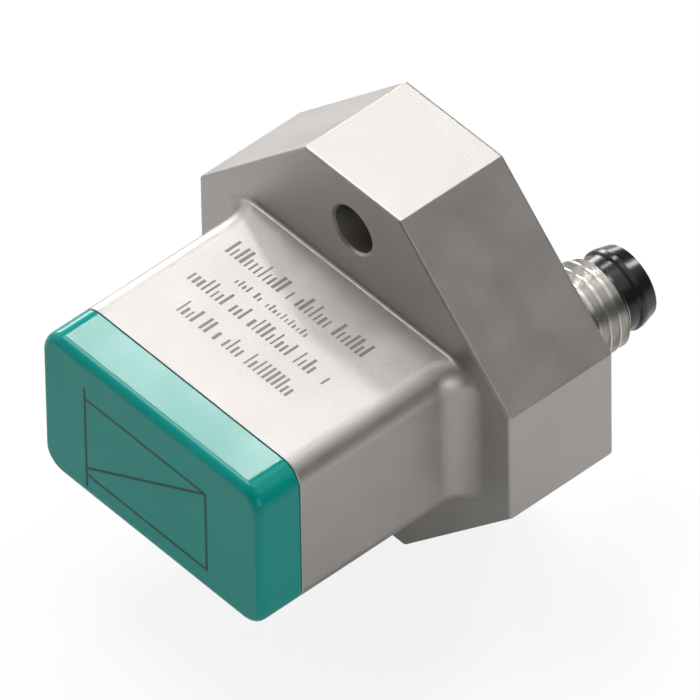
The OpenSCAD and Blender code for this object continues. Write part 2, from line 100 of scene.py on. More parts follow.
Pair = tuple[float, float]
Triple = tuple[float, float, float]
Outline = list[Pair]
Piece = bpy.types.Object
Wire = bpy.types.NodeSocket


class Slot(Enum):
    """Material slots of the record."""

    STEEL = "blasted_steel"
    CAP = "sensing_plastic"
    THREAD = "plated_thread"
    INSULATOR = "black_insulator"
    GOLD = "contact_gold"
    RUBBER = "seal_rubber"
    LAMINATE = "board_laminate"
    COPPER = "coil_copper"
    FERRITE = "ferrite"
    CARRIER = "carrier_plastic"
    EPOXY = "chip_epoxy"
    LID = "crystal_lid"
    CERAMIC = "capacitor_ceramic"
    TIN = "header_tin"
    BROWN = "jacket_brown"
    BLUE = "jacket_blue"
    BLACK = "jacket_black"


class Wiring:
    """Adds nodes to a shader or geometry tree and links them."""

    def __init__(self, tree: bpy.types.NodeTree) -> None:
        """Keeps the tree that the nodes go into."""
        self.tree = tree

    def node(
        self, kind: str, inputs: dict[Any, Any] | None = None, **settings: Any
    ) -> bpy.types.Node:
        """Adds one node.

        Args:
            kind: The node's type name.
            inputs: Values or sockets for its inputs, by name or number.
            settings: Properties of the node itself.

        Returns:
            The new node.
        """
        made = self.tree.nodes.new(kind)
        for name, value in settings.items():
            setattr(made, name, value)
        for key, value in (inputs or {}).items():
            if isinstance(value, Wire):
                self.tree.links.new(value, made.inputs[key])
            else:
                made.inputs[key].default_value = value
        return made

    def math(self, operation: str, *values: Any) -> Wire:
        """Adds a math node and returns its output."""
        made = self.node("ShaderNodeMath", dict(enumerate(values)), operation=operation)
        return made.outputs[0]

    def vector(self, x: Any = 0.0, y: Any = 0.0, z: Any = 0.0) -> Wire:
        """Joins three numbers into a vector."""
        return self.node("ShaderNodeCombineXYZ", {0: x, 1: y, 2: z}).outputs[0]

    def spread(self, value: Any, low: float, high: float, to_low: Any, to_high: Any) -> Wire:
        """Maps value from low..high onto to_low..to_high, held at both ends."""
        ends = {0: value, 1: low, 2: high, 3: to_low, 4: to_high}
        return self.node("ShaderNodeMapRange", ends, clamp=True).outputs[0]

    def socket(self, name: str, kind: str, default: Any = None, out: bool = False) -> str:
        """Adds a socket to the tree's own interface.

        Args:
            name: The socket's name.
            kind: Float, Int, Vector, Color, Geometry or Material.
            default: Its default value, where it has one.
            out: True for an output.

        Returns:
            The socket's identifier.
        """
        side = "OUTPUT" if out else "INPUT"
        made = self.tree.interface.new_socket(name, in_out=side, socket_type=f"NodeSocket{kind}")
        if default is not None:
            made.default_value = default
        return made.identifier


def surface_texture() -> bpy.types.ShaderNodeTree:
    """Builds the shared group that breaks up a surface with fine grain and slow clouds.

    Returns:
        The node group, with outputs for colour, roughness and bump height.
    """
    name = "surface_texture"
    if name in bpy.data.node_groups:
        return bpy.data.node_groups[name]
    tree = bpy.data.node_groups.new(name, "ShaderNodeTree")
    wires = Wiring(tree)
    wires.socket("Grain Scale", "Float", 4000.0)
    wires.socket("Cloud Scale", "Float", 150.0)
    wires.socket("Dark", "Color", (0.4, 0.4, 0.4, 1.0))
    wires.socket("Light", "Color", (0.5, 0.5, 0.5, 1.0))
    wires.socket("Smooth", "Float", 0.35)
    wires.socket("Rough", "Float", 0.45)
    for out_name, kind in (("Color", "Color"), ("Roughness", "Float"), ("Height", "Float")):
        wires.socket(out_name, kind, out=True)
    given = wires.node("NodeGroupInput").outputs
    place = wires.node("ShaderNodeTexCoord").outputs["Object"]
    grain = wires.node("ShaderNodeTexNoise", {"Vector": place, "Scale": given["Grain Scale"],
                                              "Detail": 3.0, "Roughness": 0.6}).outputs[0]
    cloud = wires.node("ShaderNodeTexNoise", {"Vector": place, "Scale": given["Cloud Scale"],
                                              "Detail": 4.0, "Roughness": 0.55}).outputs[0]
    grain_share = 0.35
    tone_range, gloss_range = (0.35, 0.65), (0.3, 0.7)  # which the noise mostly fills
    clouded = wires.math("MULTIPLY", cloud, 1.0 - grain_share)
    mixed = wires.math("MULTIPLY_ADD", grain, grain_share, clouded)
    tone = wires.spread(mixed, *tone_range, 0.0, 1.0)
    color = wires.node("ShaderNodeMix", {0: tone, 6: given["Dark"], 7: given["Light"]},
                       data_type="RGBA").outputs[2]
    gloss = wires.spread(cloud, *gloss_range, given["Smooth"], given["Rough"])
    wires.node("NodeGroupOutput", {"Color": color, "Roughness": gloss, "Height": grain})
    return tree


@dataclass(frozen=True)
class Finish:
    """A surface finish with fine grain and slow variation in tone and gloss.

    Attributes:
        slot: Material slot that it belongs to.
        color: Mean colour.
        roughness: Mean roughness.
        metallic: 1 for bare metal.
        specular: Specular level of the Principled shader.
        coat: Weight of a clear top layer.
        coat_roughness: That layer's roughness.
        grain: Size of the grain.
        depth: Depth of the grain's bump.
        cloud: Size of the slow variation.
        tone: Share by which the colour drifts to each side.
        gloss: Amount by which the roughness drifts to each side.
        variant: Tells finishes of one slot apart.
    """

    slot: Slot
    color: Triple
    roughness: float = 0.5
    metallic: float = 0.0
    specular: float = 0.5
    coat: float = 0.0
    coat_roughness: float = 0.2
    grain: float = 0.25
    depth: float = 0.004
    cloud: float = 6.0
    tone: float = 0.06
    gloss: float = 0.05
    variant: str = "finish"

    def shade(self, share: float) -> tuple[float, float, float, float]:
        """Returns the colour scaled by 1 + share."""
        return (*[min(1.0, c * (1.0 + share)) for c in self.color], 1.0)

    def material(self) -> bpy.types.Material:
        """Builds the material, once.

        Returns:
            The material with the shared texture group feeding its shader.
        """
        name = f"{self.slot.value}_{self.variant}"
        if name in bpy.data.materials:
            return bpy.data.materials[name]
        made = bpy.data.materials.new(name)
        made.use_nodes = True
        made.node_tree.nodes.clear()
        wires = Wiring(made.node_tree)
        texture = wires.node("ShaderNodeGroup", node_tree=surface_texture())
        values = {"Grain Scale": 1.0 / (self.grain * MM), "Cloud Scale": 1.0 / (self.cloud * MM),
                  "Dark": self.shade(-self.tone), "Light": self.shade(self.tone),
                  "Smooth": self.roughness - self.gloss, "Rough": self.roughness + self.gloss}
        for label, value in values.items():
            texture.inputs[label].default_value = value
        bump = wires.node("ShaderNodeBump", {"Strength": 1.0, "Distance": self.depth * MM,
                                             "Height": texture.outputs["Height"]})
        shader = wires.node("ShaderNodeBsdfPrincipled", {
            "Base Color": texture.outputs["Color"], "Roughness": texture.outputs["Roughness"],
            "Metallic": self.metallic, "Specular IOR Level": self.specular,
            "Coat Weight": self.coat, "Coat Roughness": self.coat_roughness,
            "Normal": bump.outputs[0]})
        wires.node("ShaderNodeOutputMaterial", {"Surface": shader.outputs[0]})
        return made


STEEL = Finish(Slot.STEEL, (0.455, 0.433, 0.414), roughness=0.46, metallic=1.0, grain=0.24,
               depth=0.012, cloud=4.0, tone=0.06, gloss=0.05)
ETCH = Finish(Slot.STEEL, (0.23, 0.222, 0.214), roughness=0.6, metallic=1.0, grain=0.1,
              depth=0.004, tone=0.15, variant="etch")
CAP_PLASTIC = Finish(Slot.CAP, (0.002, 0.29, 0.25), roughness=0.14, specular=0.17, grain=0.3,
                     depth=0.0015, cloud=8.0, tone=0.05, gloss=0.03)
CAP_PRINT = Finish(Slot.CAP, (0.002, 0.06, 0.052), roughness=0.3, specular=0.2, grain=0.2,
                   depth=0.002, variant="print")
THREAD_METAL = Finish(Slot.THREAD, (0.62, 0.605, 0.575), roughness=0.24, metallic=1.0, grain=0.3,
                      depth=0.002, cloud=2.0, tone=0.08)
INSULATOR = Finish(Slot.INSULATOR, (0.008, 0.0077, 0.008), roughness=0.2, grain=0.2, depth=0.002)
GOLD = Finish(Slot.GOLD, (0.83, 0.62, 0.27), roughness=0.22, metallic=1.0, grain=0.1, depth=0.001)
RUBBER = Finish(Slot.RUBBER, (0.02, 0.02, 0.02), roughness=0.7, grain=0.15)
LAMINATE = Finish(Slot.LAMINATE, (0.03, 0.17, 0.08), roughness=0.35, coat=0.3, grain=0.4,
                  tone=0.12)
COPPER = Finish(Slot.COPPER, (0.72, 0.38, 0.19), roughness=0.3, metallic=1.0, grain=0.1,
                depth=0.001)
FERRITE = Finish(Slot.FERRITE, (0.09, 0.09, 0.095), roughness=0.6, grain=0.12, depth=0.006)
CARRIER_PLASTIC = Finish(Slot.CARRIER, (0.66, 0.62, 0.54))
EPOXY = Finish(Slot.EPOXY, (0.03, 0.03, 0.033), roughness=0.55, grain=0.08)
LID_METAL = Finish(Slot.LID, (0.62, 0.6, 0.56), roughness=0.3, metallic=1.0, grain=0.3,
                   depth=0.001)
CERAMIC = Finish(Slot.CERAMIC, (0.42, 0.29, 0.17), roughness=0.45, grain=0.1)
TINNED = Finish(Slot.TIN, (0.7, 0.64, 0.5), roughness=0.3, metallic=1.0, grain=0.2, depth=0.001)
BROWN_JACKET = Finish(Slot.BROWN, (0.15, 0.06, 0.025), roughness=0.45, grain=0.2)
BLUE_JACKET = Finish(Slot.BLUE, (0.02, 0.07, 0.32), roughness=0.45, grain=0.2)
BLACK_JACKET = Finish(Slot.BLACK, (0.02, 0.02, 0.02), roughness=0.45, grain=0.2)


class Cut(Enum):
    """Ways in which one solid changes another."""

    JOIN = "UNION"
    REMOVE = "DIFFERENCE"
    KEEP_WITHIN = "INTERSECT"


def mesh_object(name: str, mesh: bpy.types.Mesh) -> Piece:
    """Links a mesh into the scene.

    Args:
        name: The object's name.
        mesh: Its mesh.

    Returns:
        The new object, at the origin.
    """
    made = bpy.data.objects.new(name, mesh)
    bpy.context.scene.collection.objects.link(made)
    return made


def solid_from_rings(
    name: str, rings: Sequence[Sequence[Vector]], closed: bool = False
) -> Piece:
    """Skins rings of equal length into one closed solid.

    Args:
        name: The object's name.
        rings: Rings of points, in metres.
        closed: True if the last ring joins the first, otherwise both ends get a flat face.

    Returns:
        The new object.
    """
    work = bmesh.new()
    rows = [[work.verts.new(point) for point in ring] for ring in rings]
    pairs = list(zip(rows, rows[1:]))
    if closed:
        pairs.append((rows[-1], rows[0]))
    for low, high in pairs:
        for k in range(len(low)):
            after = (k + 1) % len(low)
            work.faces.new((low[k], low[after], high[after], high[k]))
    if not closed:
        work.faces.new(rows[0])
        work.faces.new(rows[-1])
    bmesh.ops.recalc_face_normals(work, faces=work.faces)
    mesh = bpy.data.meshes.new(name)
    work.to_mesh(mesh)
    work.free()
    return mesh_object(name, mesh)


def rounded_outline(corners: Outline, radius: float, steps: int) -> Outline:
    """Rounds the corners of a convex outline.

    Args:
        corners: Corner points in order, in millimetres.
        radius: Radius of each corner.
        steps: Segments along each corner's arc.

    Returns:
        The rounded outline, with steps + 1 points for each corner.
    """
    points: Outline = []
    count = len(corners)
    for k in range(count):
        corner = Vector(corners[k])
        back = (Vector(corners[k - 1]) - corner).normalized()
        ahead = (Vector(corners[(k + 1) % count]) - corner).normalized()
        half = back.angle(ahead) / 2.0
        centre = corner + (back + ahead).normalized() * (radius / math.sin(half))
        start = corner + back * (radius / math.tan(half)) - centre
        end = corner + ahead * (radius / math.tan(half)) - centre
        sweep = math.pi - 2.0 * half
        turn = math.copysign(sweep, start.x * end.y - start.y * end.x)
        for i in range(steps + 1):
            arm = Matrix.Rotation(turn * i / steps, 2) @ start
            points.append((centre.x + arm.x, centre.y + arm.y))
    return points


def box_corners(width: float, height: float) -> Outline:
    """Returns the corners of a rectangle centred on the axis."""
    x, z = width / 2.0, height / 2.0
    return [(x, z), (-x, z), (-x, -z), (x, -z)]


def ring_at(outline: Outline, y: float) -> list[Vector]:
    """Stands an outline up at the depth y and turns it into metres."""
    return [Vector((x * MM, y * MM, z * MM)) for x, z in outline]


def quarter_turn(steps: int) -> list[float]:
    """Returns the angles from 0 to a right angle in equal steps."""
    return [math.pi / 2.0 * i / steps for i in range(steps + 1)]


def rounded_edge(radius: float, steps: int) -> list[Pair]:
    """Returns (inset, depth) pairs of a rounded edge, from the flat face round to the side."""
    return [(radius * (1.0 - math.sin(angle)), radius * (1.0 - math.cos(angle)))
            for angle in quarter_turn(steps)]


def turned(name: str, profile: Outline, axis: Pair = (0.0, 0.0), around: int = 96) -> Piece:
    """Turns a profile of (radius, y) points about an axis along Y.

    Args:
        name: The object's name.
        profile: The section's points in order. It is closed unless it starts and ends on the axis.
        axis: The axis's x and z.
        around: Segments of the turn.

    Returns:
        The closed solid.
    """
    on_axis = profile[0][0] == 0.0 and profile[-1][0] == 0.0
    section = profile[1:-1] if on_axis else profile
    angles = [2.0 * math.pi * k / around for k in range(around)]
    spokes = [(math.cos(angle), math.sin(angle)) for angle in angles]
    rings = [[Vector(((axis[0] + r * c) * MM, y * MM, (axis[1] + r * s) * MM)) for c, s in spokes]
             for r, y in section]
    return solid_from_rings(name, rings, closed=not on_axis)


def flattened(source: Piece) -> Piece:
    """Turns an object with modifiers into a plain mesh under the same name.

    Args:
        source: The object, whose modifiers are applied.

    Returns:
        The same object without modifiers.
    """
    graph = bpy.context.evaluated_depsgraph_get()
    mesh = bpy.data.meshes.new_from_object(source.evaluated_get(graph), depsgraph=graph)
    source.modifiers.clear()
    source.data = mesh
    return source


def carve(target: Piece, tools: Sequence[Piece], cut: Cut) -> Piece:
    """Changes a solid by others.

    Args:
        target: The solid to change.
        tools: The other solids, which are removed afterwards.
        cut: What they do to it.

    Returns:
        The changed solid.
    """
    for tool in tools:
        change = target.modifiers.new(tool.name, "BOOLEAN")
        change.operation = cut.value
        change.solver = "EXACT"
        change.object = tool
    flattened(target)
    for tool in tools:
        bpy.data.objects.remove(tool)
    return target


def dressed(piece: Piece, finish: Finish, nodes: Sequence[str] = (), sharp: float = 32.0) -> Piece:
    """Shades a new piece, gives it its finish and ties it to the frame.

    Args:
        piece: The piece.
        finish: Its finish.
        nodes: CAD nodes that it stands for.
        sharp: Angle in degrees from which an edge stays sharp.

    Returns:
        The piece.
    """
    mesh = piece.data
    mesh.polygons.foreach_set("use_smooth", [True] * len(mesh.polygons))
    mesh.set_sharp_from_angle(angle=math.radians(sharp))
    mesh.materials.clear()
    mesh.materials.append(finish.material())
    weight = piece.modifiers.new("even_shading", "WEIGHTED_NORMAL")
    weight.keep_sharp = True
    flattened(piece)
    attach(piece, BODY)
    if nodes:
        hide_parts(*nodes)
    LOG.info("%s: %d faces, %s", piece.name, len(piece.data.polygons), finish.slot.value)
    return piece


def dress_node(node: Piece, finish: Finish) -> None:
    """Gives a CAD node its finish.

    Args:
        node: The node's object, whose mesh stays as it is.
        finish: Its finish.
    """
    node.data.materials.clear()
    node.data.materials.append(finish.material())
    LOG.info("%s: CAD node, %s", node.name, finish.slot.value)


class PieceTree(Wiring):
    """A geometry tree that makes a piece from named sizes, a place and a material."""

    def __init__(self, name: str, sizes: Sequence[tuple[str, str, Any]]) -> None:
        """Adds the tree with its inputs and output.

        Args:
            name: The tree's name.
            sizes: Name, kind and default of each size.
        """
        super().__init__(bpy.data.node_groups.new(name, "GeometryNodeTree"))
        self.socket("Geometry", "Geometry")
        inputs = [*sizes, ("Place", "Vector", None), ("Material", "Material", None)]
        self.identifiers = {label: self.socket(label, kind, default)
                            for label, kind, default in inputs}
        self.socket("Geometry", "Geometry", out=True)
        self.given = self.node("NodeGroupInput").outputs

    def close(self, shape: Wire, turn: Triple = (0.0, 0.0, 0.0)) -> None:
        """Ends the tree: the shape is put in its place, made real and given its material.

        Args:
            shape: The shape about its own origin.
            turn: Angles by which it is turned before it is moved.
        """
        laid = self.node("GeometryNodeTransform", {
            "Geometry": shape, "Translation": self.given["Place"], "Rotation": turn})
        real = self.node("GeometryNodeRealizeInstances", {0: laid.outputs[0]})
        painted = self.node("GeometryNodeSetMaterial", {
            "Geometry": real.outputs[0], "Material": self.given["Material"]})
        self.node("NodeGroupOutput", {0: painted.outputs[0]})

    def grow(self, name: str, values: dict[str, Any]) -> Piece:
        """Runs the tree once.

        Args:
            name: Name of the new piece.
            values: The inputs' values, by name.

        Returns:
            The piece as a plain mesh.
        """
        piece = mesh_object(name, bpy.data.meshes.new(name))
        rule = piece.modifiers.new(self.tree.name, "NODES")
        rule.node_group = self.tree
        for label, value in values.items():
            rule[self.identifiers[label]] = value
        return flattened(piece)


@dataclass
class SteelBody:
    """The steel block: an eight-sided flange with a snout, milled hollow for the electronics."""

    width: float = 36.0
    height: float = 36.0
    thickness: float = 10.8
    corner_cut: float = 12.5
    edge: float = 0.3
    corner_edge: float = 0.2
    hole_radius: float = 2.15
    hole_pitch: float = 26.0
    hole_edge: float = 0.2
    snout: Pair = (25.2, 15.0)
    snout_length: float = 16.8
    snout_radius: float = 2.05
    snout_end_edge: float = 0.12
    root_radius: float = 2.5
    root_bead: float = 0.25  # tiny fillets where the snout's top and underside meet the flange
    cavity: Pair = (22.0, 11.8)
    cavity_radius: float = 1.5
    cavity_depth: float = 6.0
    seat: Pair = (23.4, 13.2)
    seat_radius: float = 1.15
    seat_depth: float = 3.0
    connector_x: float = 9.05
    collar_radius: float = 4.3
    collar_depth: float = 3.6
    passage_radius: float = 3.5
    passage_start: float = 4.6
    bore_edge: float = 0.15
    corner_steps: int = 3
    edge_steps: int = 4
    pocket_steps: int = 10
    snout_steps: int = 12
    snout_end_steps: int = 3
    root_steps: int = 16
    hole_steps: int = 64

    def flange_outline(self, inset: float) -> Outline:
        """Draws the flange's eight-sided outline.

        Args:
            inset: How far it is moved inwards.

        Returns:
            The outline with its corners rounded.
        """
        x, z = self.width / 2.0 - inset, self.height / 2.0 - inset
        cut = self.corner_cut - inset * (2.0 - math.sqrt(2.0))
        corners = []
        for sx, sz in ((1, 1), (-1, 1), (-1, -1), (1, -1)):
            side, top = (sx * x, sz * (z - cut)), (sx * (x - cut), sz * z)
            corners += [side, top] if sx * sz > 0 else [top, side]
        return rounded_outline(corners, self.corner_edge, self.corner_steps)

    def flange(self) -> Piece:
        """Builds the flange with its rounded edges.

        Returns:
            The flange, which becomes the steel body.
        """
        rounding = rounded_edge(self.edge, self.edge_steps)
        rings = [ring_at(self.flange_outline(inset), depth) for inset, depth in rounding]
        rings += [ring_at(self.flange_outline(inset), self.thickness - depth)
                  for inset, depth in reversed(rounding)]
        return solid_from_rings("steel_body", rings)

    def pocket_tool(self, name: str, size: Pair, radius: float, end: float) -> Piece:
        """Builds the tool that mills a pocket with rounded corners into the snout's end.

        Args:
            name: The object's name.
            size: Width and height.
            radius: Radius of the corners.
            end: The pocket's floor.

        Returns:
            The tool.
        """
        section = rounded_outline(box_corners(*size), radius, self.pocket_steps)
        start = -self.snout_length - OVERSHOOT
        return solid_from_rings(name, [ring_at(section, start), ring_at(section, end)])

    def snout_section(self, rise: float) -> Outline:
        """Draws the snout's section within the height of its root fillets.

        Args:
            rise: Height above the start of the fillets.

        Returns:
            The section.
        """
        x = self.snout[0] / 2.0 + self.root_radius
        near = max(0.0, rise - self.root_radius + self.root_bead)
        bead = self.root_bead - math.sqrt(self.root_bead ** 2 - near ** 2)
        z = self.snout[1] / 2.0 - self.snout_radius + bead
        arc: Outline = []
        for angle in quarter_turn(self.snout_steps):
            reach = self.root_radius + self.snout_radius * (1.0 - math.cos(angle))
            side = x - math.sqrt(reach * reach - rise * rise)
            arc.append((side, z + self.snout_radius * math.sin(angle)))
        half = arc + [(-px, pz) for px, pz in reversed(arc)]
        return half + [(px, -pz) for px, pz in reversed(half)]

    def snout_bar(self) -> Piece:
        """Builds the snout with its rounded front edge and the concave fillets at its root.

        Returns:
            The snout, which reaches into the flange.
        """
        rings = []
        for inset, depth in rounded_edge(self.snout_end_edge, self.snout_end_steps):
            corners = box_corners(self.snout[0] - 2.0 * inset, self.snout[1] - 2.0 * inset)
            section = rounded_outline(corners, self.snout_radius - inset, self.snout_steps)
            rings.append(ring_at(section, depth - self.snout_length))
        for angle in quarter_turn(self.root_steps):
            rise = self.root_radius * math.sin(angle)
            rings.append(ring_at(self.snout_section(rise), rise - self.root_radius))
        rings.append(ring_at(self.snout_section(self.root_radius), OVERSHOOT))
        return solid_from_rings("snout", rings)

    def screw_hole(self, side: int) -> Piece:
        """Builds the tool that cuts one screw hole with broken edges.

        Args:
            side: 1 for the upper hole, -1 for the lower one.

        Returns:
            The tool.
        """
        radius, far = self.hole_radius, self.thickness
        wide, past = radius + self.hole_edge, far + OVERSHOOT
        profile = [(0.0, -OVERSHOOT), (wide, -OVERSHOOT), (wide, 0.0), (radius, self.hole_edge),
                   (radius, far - self.hole_edge), (wide, far), (wide, past), (0.0, past)]
        middle = (0.0, side * self.hole_pitch / 2.0)
        return turned(f"screw_hole_{side}", profile, middle, self.hole_steps)

    def connector_bore(self) -> Piece:
        """Builds the tool that cuts the stepped bore of the connector.

        Returns:
            The tool.
        """
        passage, collar, far = self.passage_radius, self.collar_radius, self.thickness
        floor, wide, past = far - self.collar_depth, collar + self.bore_edge, far + OVERSHOOT
        profile = [(0.0, self.passage_start), (passage, self.passage_start), (passage, floor),
                   (collar, floor), (collar, far - self.bore_edge), (wide, far), (wide, past),
                   (0.0, past)]
        return turned("connector_bore", profile, (self.connector_x, 0.0))

    def build(self) -> Piece:
        """Machines the block and gives it its finish.

        Returns:
            The steel body.
        """
        body = self.flange()
        carve(body, [self.snout_bar()], Cut.JOIN)
        seat_end = self.seat_depth - self.snout_length
        tools = [self.pocket_tool("cavity", self.cavity, self.cavity_radius, self.cavity_depth),
                 self.pocket_tool("seat", self.seat, self.seat_radius, seat_end),
                 self.screw_hole(-1), self.screw_hole(1), self.connector_bore()]
        carve(body, tools, Cut.REMOVE)
        return dressed(body, STEEL, ["housing"])


@dataclass
class SensingCap:
    """The moulded cap on the snout's end, with the printed measuring field on its face."""

    size: Pair = (25.2, 15.0)
    radius: float = 2.05
    front: float = -21.188
    seam: float = -16.8
    groove: float = 0.15
    top_edge: float = 0.85
    side_edge: float = 0.5
    spigot: Pair = (23.3, 13.1)
    spigot_radius: float = 1.1
    spigot_end: float = -14.4
    pocket: Pair = (20.9, 10.7)
    pocket_radius: float = 1.0
    pocket_floor: float = -20.0
    line: float = 0.24
    line_height: float = 0.012
    field_size: Pair = (14.0, 8.4)
    field_centre: Pair = (-0.56, -0.82)
    overrun: Pair = (1.3, 1.0)
    diagonal_start: float = 0.7
    corner_steps: int = 10
    edge_steps: int = 6

    def section(self, width: float, height: float, radius: float, y: float) -> list[Vector]:
        """Returns one rounded section of the cap at the depth y."""
        corners = box_corners(width, height)
        return ring_at(rounded_outline(corners, radius, self.corner_steps), y)

    def shell(self) -> Piece:
        """Builds the cap from its front face round the spigot into the pocket.

        Returns:
            The cap.
        """
        w, h = self.size
        rings = []
        for angle in quarter_turn(self.edge_steps):
            side_in = self.side_edge * (1.0 - math.sin(angle))
            top_in = self.top_edge * (1.0 - math.sin(angle))
            y = self.front + self.top_edge * (1.0 - math.cos(angle))
            radius = self.radius - side_in
            rings.append(self.section(w - 2.0 * side_in, h - 2.0 * top_in, radius, y))
        g = self.groove
        rings += [self.section(w, h, self.radius, self.seam - g),
                  self.section(w - 2.0 * g, h - 2.0 * g, self.radius - g, self.seam - g),
                  self.section(w - 2.0 * g, h - 2.0 * g, self.radius - g, self.seam),
                  self.section(*self.spigot, self.spigot_radius, self.seam),
                  self.section(*self.spigot, self.spigot_radius, self.spigot_end),
                  self.section(*self.pocket, self.pocket_radius, self.spigot_end),
                  self.section(*self.pocket, self.pocket_radius, self.pocket_floor)]
        return solid_from_rings("sensing_cap_shell", rings)

    def stroke(self, start: Pair, end: Pair) -> Piece:
        """Builds one printed line on the front face as a thin flat bar.

        Args:
            start: Its first x and z.
            end: Its last x and z.

        Returns:
            The line.
        """
        a, b = Vector(start), Vector(end)
        along = (b - a).normalized() * (self.line / 2.0)
        aside = Vector((-along.y, along.x))
        plan = [a - along + aside, a - along - aside, b + along - aside, b + along + aside]
        face = [(p.x, p.y) for p in plan]
        return solid_from_rings("stroke", [ring_at(face, self.front - self.line_height),
                                           ring_at(face, self.front + self.line_height)])

    def field_print(self) -> Piece:
        """Builds the printed measuring field: a rectangle with a rising diagonal.

        Returns:
            The print, whose left line runs past the rectangle at both ends.
        """
        (w, h), (x, z) = self.field_size, self.field_centre
        left, right, low, high = x - w / 2.0, x + w / 2.0, z - h / 2.0, z + h / 2.0
        frame = self.stroke((left, low - self.overrun[0]), (left, high + self.overrun[1]))
        others = [((left, low), (right, low)), ((left, high), (right, high)),
                  ((right, low), (right, high)), ((left, low + self.diagonal_start), (right, high))]
        frame = carve(frame, [self.stroke(*ends) for ends in others], Cut.JOIN)
        frame.name = "field_print"
        return frame

    def build(self) -> list[Piece]:
        """Builds the cap and its print.

        Returns:
            Its pieces.
        """
        return [dressed(self.shell(), CAP_PLASTIC, ["sensing_cap"], sharp=40.0),
                dressed(self.field_print(), CAP_PRINT)]


def tick_tree() -> PieceTree:
    """Builds the tree that strews a row of short etched ticks along X.

    Returns:
        The tree.
    """
    tree = PieceTree("etch_ticks", (
        ("Count", "Int", 10), ("Seed", "Int", 0), ("Length", "Float", 0.01),
        ("Height", "Float", 0.0015), ("Width", "Float", 0.0003), ("Lift", "Float", 1e-5),
        ("Short", "Float", 0.62), ("Gaps", "Float", 0.14)))
    given = tree.given

    def chance(low: float, high: float, shift: int) -> Wire:
        """Draws a random number for each tick.

        Args:
            low: Lowest number.
            high: Highest number.
            shift: Sets this draw apart from the others.

        Returns:
            The number.
        """
        seed = tree.math("ADD", given["Seed"], float(shift))
        drawn = tree.node("FunctionNodeRandomValue", {2: low, 3: high, "Seed": seed},
                          data_type="FLOAT")
        return drawn.outputs[1]

    step = tree.vector(tree.math("DIVIDE", given["Length"], given["Count"]))
    row = tree.node("GeometryNodeMeshLine", {"Count": given["Count"], "Offset": step})
    tall = tree.spread(tree.math("ROUND", chance(0.0, 1.0, 1)), 0.0, 1.0, given["Short"], 1.0)
    half = tree.math("MULTIPLY", given["Height"], 0.5)
    drop = tree.vector(0.0, tree.math("MULTIPLY", tree.math("SUBTRACT", tall, 1.0), half))
    spots = tree.node("GeometryNodeSetPosition", {"Geometry": row.outputs[0], "Offset": drop})
    size = tree.vector(given["Width"], given["Height"], given["Lift"])
    tick = tree.node("GeometryNodeMeshCube", {"Size": size})
    narrowest, widest = 0.7, 1.5
    scale = tree.vector(chance(narrowest, widest, 2), tall, 1.0)
    kept = tree.math("GREATER_THAN", chance(0.0, 1.0, 3), given["Gaps"])
    ticks = tree.node("GeometryNodeInstanceOnPoints", {
        "Points": spots.outputs[0], "Selection": kept, "Instance": tick.outputs[0],
        "Scale": scale})
    tree.close(ticks.outputs[0])
    return tree


@dataclass(frozen=True)
class TickRow:
    """One row of etched ticks on the snout's top.

    Attributes:
        start: The row's first x.
        end: Its last x.
        y: Its middle.
        height: Longest tick.
        count: Number of ticks.
        width: Width of a tick.
    """

    start: float
    end: float
    y: float
    height: float
    count: int
    width: float = 0.22


@dataclass
class EtchedMarks:
    """Rows of plain etched ticks on the snout's top.

    Attributes:
        top: Height of the snout's top.
        lift: How far the ticks stand out of it.
        seed: Step between the rows' seeds.
        short: Height of a short tick as a share of a tall one.
        gaps: Share of the ticks that are left out.
        rows: The rows.
    """

    top: float = 7.5
    lift: float = 0.012
    seed: int = 11
    short: float = 0.62
    gaps: float = 0.14
    rows: tuple[TickRow, ...] = (
        TickRow(-9.0, 8.6, -4.4, 1.6, 33), TickRow(-6.0, 2.4, -6.6, 0.7, 19, 0.16),
        TickRow(-8.8, 7.2, -8.6, 1.5, 30), TickRow(-6.8, 6.2, -11.5, 1.5, 25))

    def build(self) -> list[Piece]:
        """Builds each row.

        Returns:
            The rows' pieces.
        """
        tree = tick_tree()
        made = []
        for number, row in enumerate(self.rows, start=1):
            piece = tree.grow(f"etched_row_{number}", {
                "Count": row.count, "Seed": self.seed * number,
                "Length": (row.end - row.start) * MM, "Height": row.height * MM,
                "Width": row.width * MM, "Lift": 2.0 * self.lift * MM, "Short": self.short,
                "Gaps": self.gaps, "Place": Vector((row.start, row.y, self.top)) * MM,
                "Material": ETCH.material()})
            made.append(dressed(piece, ETCH))
        return made


